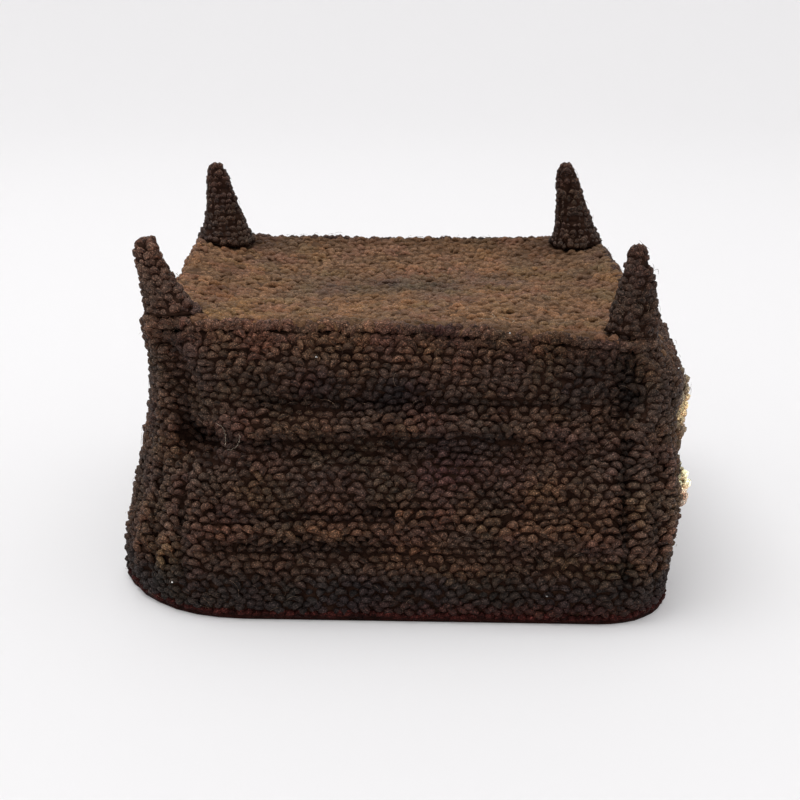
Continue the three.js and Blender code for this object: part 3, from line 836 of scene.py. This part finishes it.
def ground_material(name, light, dark):
    """The back of the knotting: rounded knots by bump, with painted shade between them and in the folds."""
    material, shader = plain_material(name, WOOL_ROUGHNESS)
    shader.inputs["Specular IOR Level"].default_value = 0.02
    nodes, link = material.node_tree.nodes, material.node_tree.links.new
    where = nodes.new("ShaderNodeTexCoord")
    stretch = nodes.new("ShaderNodeMapping")
    stretch.inputs["Scale"].default_value = (1.0, 1.0, 1.3)
    link(where.outputs["Object"], stretch.inputs["Vector"])
    knots = nodes.new("ShaderNodeTexVoronoi")
    knots.inputs["Scale"].default_value = KNOTS_PER_METRE
    knots.inputs["Randomness"].default_value = 0.7
    link(stretch.outputs[0], knots.inputs["Vector"])
    # Painted shade: darker away from the middle of each bump
    ramp = nodes.new("ShaderNodeValToRGB")
    ramp.color_ramp.elements[0].position = 0.1
    ramp.color_ramp.elements[0].color = (*light, 1)
    ramp.color_ramp.elements[1].position = 0.75
    ramp.color_ramp.elements[1].color = (*dark, 1)
    link(knots.outputs["Distance"], ramp.inputs["Fac"])
    fold = nodes.new("ShaderNodeAttribute")
    fold.attribute_name = "fold"
    shaded = nodes.new("ShaderNodeVectorMath")
    shaded.operation = "MULTIPLY"
    link(ramp.outputs["Color"], shaded.inputs[0])
    link(fold.outputs["Color"], shaded.inputs[1])
    link(shaded.outputs[0], shader.inputs["Base Color"])
    raised = nodes.new("ShaderNodeBump")
    raised.invert = True
    raised.inputs["Strength"].default_value = 0.8
    raised.inputs["Distance"].default_value = 1.2 * MM
    link(knots.outputs["Distance"], raised.inputs["Height"])
    link(raised.outputs[0], shader.inputs["Normal"])
    return material


# Pieces

def ground(node, material, drop):
    """The cloth that shows between the knots: the node's own form, a little thinner."""
    mesh = bpy.data.objects[node].data.copy()
    piece = bpy.data.objects.new(node + "_ground", mesh)
    bpy.context.scene.collection.objects.link(piece)
    make_active(piece)
    bpy.ops.object.mode_set(mode="EDIT")
    bpy.ops.mesh.select_all(action="SELECT")
    bpy.ops.mesh.remove_doubles(threshold=0.01 * MM)
    if node == "side_wall":
        bpy.ops.mesh.subdivide(number_cuts=1)
    bpy.ops.transform.shrink_fatten(value=-drop)
    bpy.ops.mesh.faces_shade_smooth()
    bpy.ops.object.mode_set(mode="OBJECT")
    crown = Form("crown_panel")
    lifts, sags, tints = fold_at(all_folds(), [vert.co for vert in mesh.vertices])
    # The folds' painted shade darkens the cloth's colour
    shade = mesh.color_attributes.new(name="fold", type="FLOAT_COLOR", domain="POINT")
    opaque = np.ones((len(tints), 1))
    shade.data.foreach_set("color", np.hstack([np.minimum(tints, 1.0), opaque]).ravel())
    outwards = [vert.normal.copy() for vert in mesh.vertices]
    for vert, lift, sag, out in zip(mesh.vertices, lifts, sags, outwards):
        on_lip = node == "side_wall" and out.z > 0.5 and crown.tree.find_nearest(vert.co)[3] < LIP_REACH
        faces_out = 1 if node in PEAKS or out.dot(vert.co - HOLLOW_MIDDLE) > 0 else -1
        deeper = lift - FOLD_GAP * abs(lift)
        by_binding = node == "side_wall" and vert.co.z < BINDING_TOP + WALL_FOOT_REACH
        vert.co += out * faces_out * deeper + Vector((0, 0, (LIP_RISE if on_lip else 0) - sag))
        vert.co.z = WALL_FOOT if by_binding else max(0.0, vert.co.z)
    mesh.materials.clear()
    mesh.materials.append(material)
    if not mesh.uv_layers:
        mesh.uv_layers.new(name="UVMap")
    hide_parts(node)
    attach(piece, "root")


def side_of(place):
    """Which side of the cap a place is on."""
    x, y = place[0] / CAD_BOX[1][0], place[1] / CAD_BOX[1][1]
    if abs(x) > abs(y):
        return "right" if x > 0 else "left"
    return "back" if y > 0 else "front"


def bank_share(place, upward):
    """How much a place on the wall belongs to the left bank."""
    near_top = clamped((place[2] - BANK_TOP) / BANK_TOP_BLEND)
    to_the_left = clamped((-place[0] - BANK_FROM) / BANK_BLEND)
    behind_the_peak = clamped((place[1] + BANK_FROM) / BANK_BLEND)
    return max(upward, near_top) * to_the_left * behind_the_peak


def wall_knots(knot, material):
    form = Form("side_wall", "crown_panel")
    sides = {name: Places(form, seed) for seed, name in enumerate(["front", "right", "back", "left"])}
    rng = np.random.default_rng(11)
    folds = all_folds()
    for row, line in enumerate(wall_rows(form)):
        spots = spread_round(line, KNOTS_ROUND, shift=0.5 * (row % 2))
        fold_lifts, sags, fold_light_and_shade = fold_at(folds, spots)
        for number, spot in enumerate(spots):
            along = spots[(number + 1) % KNOTS_ROUND] - spots[number - 1]
            slant = KNOT_SLANT if row % 2 else -KNOT_SLANT
            upward = clamped((form.outward_near(Vector(spot)).z - UPWARD_FROM) / UPWARD_BLEND)
            share = bank_share(spot, upward)
            base = np.array(WALL_BROWN) * (1 - share) + np.array(CROWN_BROWN) * BANK_SHADE * share
            colour = yarn_colour(base, spot, rng, STAINS_AND_PAINTED_LIGHT, mottle=0.6)
            # Painted shade in the creases and furrows, painted light on the rolls and ribs
            colour = colour * fold_light_and_shade[number]
            lift = fold_lifts[number] - KNOT_SET - UPWARD_SET * upward
            # Every other knot sits lower, darkened with painted shade
            if (number + row) % 2:
                lift -= LOW_KNOT
                colour = colour * LOW_KNOT_PAINTED_SHADE
            spot = spot + np.array((0, 0, WAVER * drift(spot, WAVER_LENGTH, 51.0)))
            places = sides[side_of(spot)]
            places.add(spot, along, KNOT_SIZE, colour, slant=slant, lift=lift, rise=-sags[number])
    for name, places in sides.items():
        lay_knots("wall_knots_" + name, places.rows, knot, material)
    return [row for places in sides.values() for row in places.rows]


def crown_knots(knot, material):
    form = Form("crown_panel", "side_wall")
    feet = Form(*PEAKS)
    low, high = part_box("crown_panel")
    halves = {name: Places(form, seed) for seed, name in enumerate(["front", "back"], start=5)}
    rng = np.random.default_rng(12)
    folds = all_folds()
    middle = (low[1] + high[1]) / 2
    for row in range(int((high[1] - low[1]) / CROWN_ROW_PITCH) + 4):
        y = low[1] - CROWN_MARGIN + row * CROWN_ROW_PITCH
        for number in range(int((high[0] - low[0]) / CROWN_KNOT_PITCH) + 6):
            x = low[0] - 2 * CROWN_MARGIN + (number + 0.5 * (row % 2)) * CROWN_KNOT_PITCH
            met = form.below(x, y)
            if met is None or met[1].z < CROWN_EDGE_SLOPE or feet.below(x, y):
                continue
            slant = rng.choice((0, math.pi))
            where = (x, y, CROWN_LEVEL)
            colour = yarn_colour(CROWN_BROWN, where, rng, CROWN_STAINS_AND_PAINTED_SHADE, mottle=0.6, spread=0.12)
            lifts, sags, _ = fold_at(folds, [met[0]])
            half = halves["front" if y < middle else "back"]
            half.add(met[0], (1, 0, 0), CROWN_KNOT_SIZE, colour, slant=slant,
                     lift=lifts[0] - CROWN_KNOT_SET, rise=-sags[0], unruly=1.7)
    for name, places in halves.items():
        lay_knots("crown_knots_" + name, places.rows, knot, material, CROWN_ROOT_DIRT_AND_SHADE)
    return [row for places in halves.values() for row in places.rows]


def section_middle(form, height):
    """The middle of a form's section at a height."""
    crossing = []
    for edge in form.mesh.edges:
        start, end = (vert.co for vert in edge.verts)
        if (start.z - height) * (end.z - height) < 0:
            crossing.append(start.lerp(end, (height - start.z) / (end.z - start.z)))
    return sum(crossing, Vector()) / len(crossing)


def ring_round(form, middle):
    """Where level lines from all sides to a middle meet a form."""
    met = [form.from_outside(middle, angle, PEAK_CAST_FROM)[0] for angle in angles_round(PEAK_STEPS)]
    return np.array([found for found in met if found is not None])


def peak_knots(node, knot, material, seed):
    """Rings of knots round a peak, a cluster at its tip, and a stub of yarn on the front right one."""
    form = Form(node)
    low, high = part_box(node)
    places = Places(form, seed)
    rng = np.random.default_rng(seed)
    folds = all_folds()
    look = PEAK_KNOTS[node]
    base = np.array(PEAK_BROWN) * look["shade"]
    height = low[2] + PEAK_FOOT
    row = 0
    while height < high[2] - PEAK_TIP:
        middle = section_middle(form, height)
        ring = ring_round(form, middle)
        count = max(4, round(closed_lengths(ring)[-1] / PEAK_KNOT_PITCH))
        spots = spread_round(ring, count, shift=0.5 * (row % 2))
        fold_lifts, sags, _ = fold_at(folds, spots)
        share = (height - low[2]) / (high[2] - low[2])
        set_in = look["set"] + look["foot_set"] * max(0.0, 1 - share / PEAK_FOOT_SHARE)
        tinted = base * (1 + REDDER_TIP * share ** 2) * (1 + look["paler"] * share)
        size = np.array(PEAK_KNOT_SIZE) * (PEAK_FOOT_SCALE - PEAK_TIP_SHRINK * share)
        for number, spot in enumerate(spots):
            along = spots[(number + 1) % count] - spots[number - 1]
            colour = yarn_colour(tinted, spot, rng, (), mottle=0.5)
            lift = fold_lifts[number] - set_in
            places.add(spot, along, size, colour, lift=lift, rise=-sags[number], unruly=look["unruly"])
        height += PEAK_ROW_RISE
        row += 1
    tip = Vector((middle.x, middle.y, high[2] - PEAK_TIP))
    for turn in angles_round(TIP_KNOTS):
        cosine, sine = math.cos(seed + turn), math.sin(seed + turn)
        beside = tip + Vector((cosine, sine, 0)) * TIP_KNOT_REACH
        along = (-sine, cosine, 0.1)
        places.add(beside, along, TIP_KNOT_SIZE, base * TIP_TINT, unruly=0.5)
    if node == "peak_front_right":
        places.add(tip + STUB_OFFSET, (0.9, 0, 0.25), STUB_SIZE, base, unruly=0.2)
    lay_knots(node + "_knots", places.rows, knot, material)
    return places.rows


def binding_knots(knot, material):
    form = Form("edge_binding")
    places = Places(form, 31)
    rng = np.random.default_rng(31)
    middle = Vector((0, 0, BINDING_TOP / 2))
    line = [form.from_outside(middle, angle, CAST_FROM)[0] for angle in angles_round(ROUND_STEPS)]
    spots = spread_round(np.array(line), BINDING_KNOTS)
    for number, spot in enumerate(spots):
        along = spots[(number + 1) % BINDING_KNOTS] - spots[number - 1]
        colour = np.array(BINDING_RED) * rng.uniform(0.6, 1.4)
        places.add(spot, along, BINDING_KNOT_SIZE, colour,
                   lift=-BINDING_KNOT_SET, rise=BINDING_KNOT_RISE, unruly=0.4)
    lay_knots("binding_knots", places.rows, knot, material)


def loose_hairs(laid, hair, material):
    """Stray hairs that lie on the knots."""
    rng = np.random.default_rng(41)
    form = Form("side_wall", "crown_panel", *PEAKS)
    places = Places(form, 41)
    for number in rng.choice(len(laid), HAIRS, replace=False):
        place, along, up, out = laid[number][:4]
        angle = rng.uniform(0, 2 * math.pi)
        direction = along * math.cos(angle) + up * math.sin(angle) + out * rng.normal(0, 0.35)
        length = rng.uniform(*HAIR_LENGTHS)
        colour = np.array(HAIR_BROWN) * rng.uniform(0.5, 1.6)
        crest = place + out * 0.5 * KNOT_DEPTH
        places.add(crest, direction, (length,) * 3, colour, lift=rng.uniform(0, 0.5) * MM)
    lay_knots("loose_hairs", places.rows, hair, material, NO_TINT)


def long_hairs(strand, material):
    """Long pale hairs that curl over the knots, each a chain of short strands."""
    form = Form("side_wall", "crown_panel", *PEAKS)
    places = Places(form, 42)
    for long_hair in LONG_HAIRS:
        place = Vector(long_hair["at"]) * MM
        heading = long_hair["heading"]
        for step in range(long_hair["steps"]):
            place, _, face_number, _ = form.tree.find_nearest(place)
            out = form.outward(place, face_number)
            across = Vector((1, 0, 0)) - out * out.x
            upwards = out.cross(across)
            along = (across * math.cos(heading) + upwards * math.sin(heading)).normalized()
            places.add(place, along, (STRAND_LENGTH,) * 3, PALE_HAIR, lift=STRAND_LIFT, unruly=0.0)
            place = place + along * STRAND_STEP
            heading += long_hair["curl"]
    lay_knots("long_hairs", places.rows, strand, material, NO_TINT)


def lint(knot, material):
    """Specks of white lint caught on the knots."""
    places = Places(Form("side_wall", "crown_panel"), 43)
    for place in LINT:
        places.add(Vector(place) * MM, (1, 0, 0.3), LINT_SIZE, LINT_WHITE, lift=LINT_LIFT)
    lay_knots("lint", places.rows, knot, material, NO_TINT)


# Stage

def camera():
    data = bpy.data.cameras.new("camera")
    data.lens = CAMERA_LENS
    data.sensor_width = 36
    data.clip_start = 0.01
    thing = bpy.data.objects.new("camera", data)
    thing.location = CAMERA_PLACE
    thing.rotation_euler = (math.pi / 2 - CAMERA_PITCH, 0, 0)
    bpy.context.scene.collection.objects.link(thing)
    bpy.context.scene.camera = thing


def round_light(name, place, size, power):
    data = bpy.data.lights.new(name, "AREA")
    data.shape = "DISK"
    data.size = size
    data.energy = power
    thing = bpy.data.objects.new(name, data)
    thing.location = place
    thing.rotation_euler = (-Vector(place)).to_track_quat("-Z", "Y").to_euler()
    bpy.context.scene.collection.objects.link(thing)


def floor_material():
    material, shader = plain_material("pale_floor", FLOOR_ROUGHNESS)
    shader.inputs["Base Color"].default_value = FLOOR_WHITE
    # A faint glow: painted light that lightens the shadows on the floor
    shader.inputs["Emission Color"].default_value = FLOOR_PAINTED_LIGHT
    shader.inputs["Emission Strength"].default_value = FLOOR_PAINTED_LIGHT_STRENGTH
    return material


def stage():
    deselect_all()
    bpy.ops.mesh.primitive_cylinder_add(vertices=96, radius=STUDIO_RADIUS, depth=STUDIO_HEIGHT,
                                        location=(0, 0, STUDIO_HEIGHT / 2))
    floor = bpy.context.object
    floor.name = "floor"
    bpy.ops.object.transform_apply(location=True)
    bpy.ops.object.mode_set(mode="EDIT")
    bpy.ops.mesh.select_all(action="DESELECT")
    shape = bmesh.from_edit_mesh(floor.data)
    bpy.ops.mesh.select_mode(type="FACE")
    for face in shape.faces:
        face.select = face.normal.z > 0.9
    bpy.ops.mesh.delete(type="ONLY_FACE")
    bpy.ops.mesh.select_mode(type="EDGE")
    shape = bmesh.from_edit_mesh(floor.data)
    for edge in shape.edges:
        edge.select = all(vert.co.z < 0.01 for vert in edge.verts)
    bpy.ops.mesh.bevel(offset=STUDIO_SWEEP, segments=16)
    bpy.ops.mesh.select_all(action="SELECT")
    bpy.ops.mesh.flip_normals()
    bpy.ops.mesh.faces_shade_smooth()
    bpy.ops.object.mode_set(mode="OBJECT")
    floor.data.materials.append(floor_material())
    world = bpy.data.worlds.new("studio")
    world.use_nodes = True
    sky = world.node_tree.nodes["Background"]
    sky.inputs["Color"].default_value = SKY_WHITE
    sky.inputs["Strength"].default_value = SKY_STRENGTH
    bpy.context.scene.world = world
    for light in LIGHTS:
        round_light(**light)
    bpy.context.scene.view_settings.view_transform = "Standard"


def build():
    camera()
    stage()
    yarn_group = yarn_surface_group()
    wall_wool = wool_material("wall_knotted_wool", yarn_group)
    crown_wool = wool_material("crown_knotted_wool", yarn_group, specular=0.1, bump=0.3, contrast=0.4)
    peak_wool = wool_material("peak_knotted_wool", yarn_group)
    binding_wool = wool_material("binding_knotted_wool", yarn_group, specular=0.05)
    dark_ground = ground_material("dark_wool_ground", *DARK_GROUND)
    crown_ground = ground_material("crown_wool_ground", *CROWN_GROUND)
    red_ground = ground_material("red_wool_ground", *RED_GROUND)
    knot_arrays = bent_spindle(6, KNOT_RINGS)
    hair_arrays = bent_spindle(3, HAIR_RINGS)
    strand_arrays = bent_spindle(3, STRAND_RINGS)
    ground("side_wall", dark_ground, GROUND_DROP)
    ground("crown_panel", crown_ground, CROWN_GROUND_DROP)
    ground("edge_binding", red_ground, BINDING_GROUND_DROP)
    laid = wall_knots(knot_arrays, wall_wool) + crown_knots(knot_arrays, crown_wool)
    for seed, node in enumerate(PEAKS, start=21):
        ground(node, dark_ground, PEAK_GROUND_DROP)
        laid += peak_knots(node, knot_arrays, peak_wool, seed)
    binding_knots(knot_arrays, binding_wool)
    loose_hairs(laid, hair_arrays, wall_wool)
    long_hairs(strand_arrays, wall_wool)
    lint(knot_arrays, wall_wool)


build()
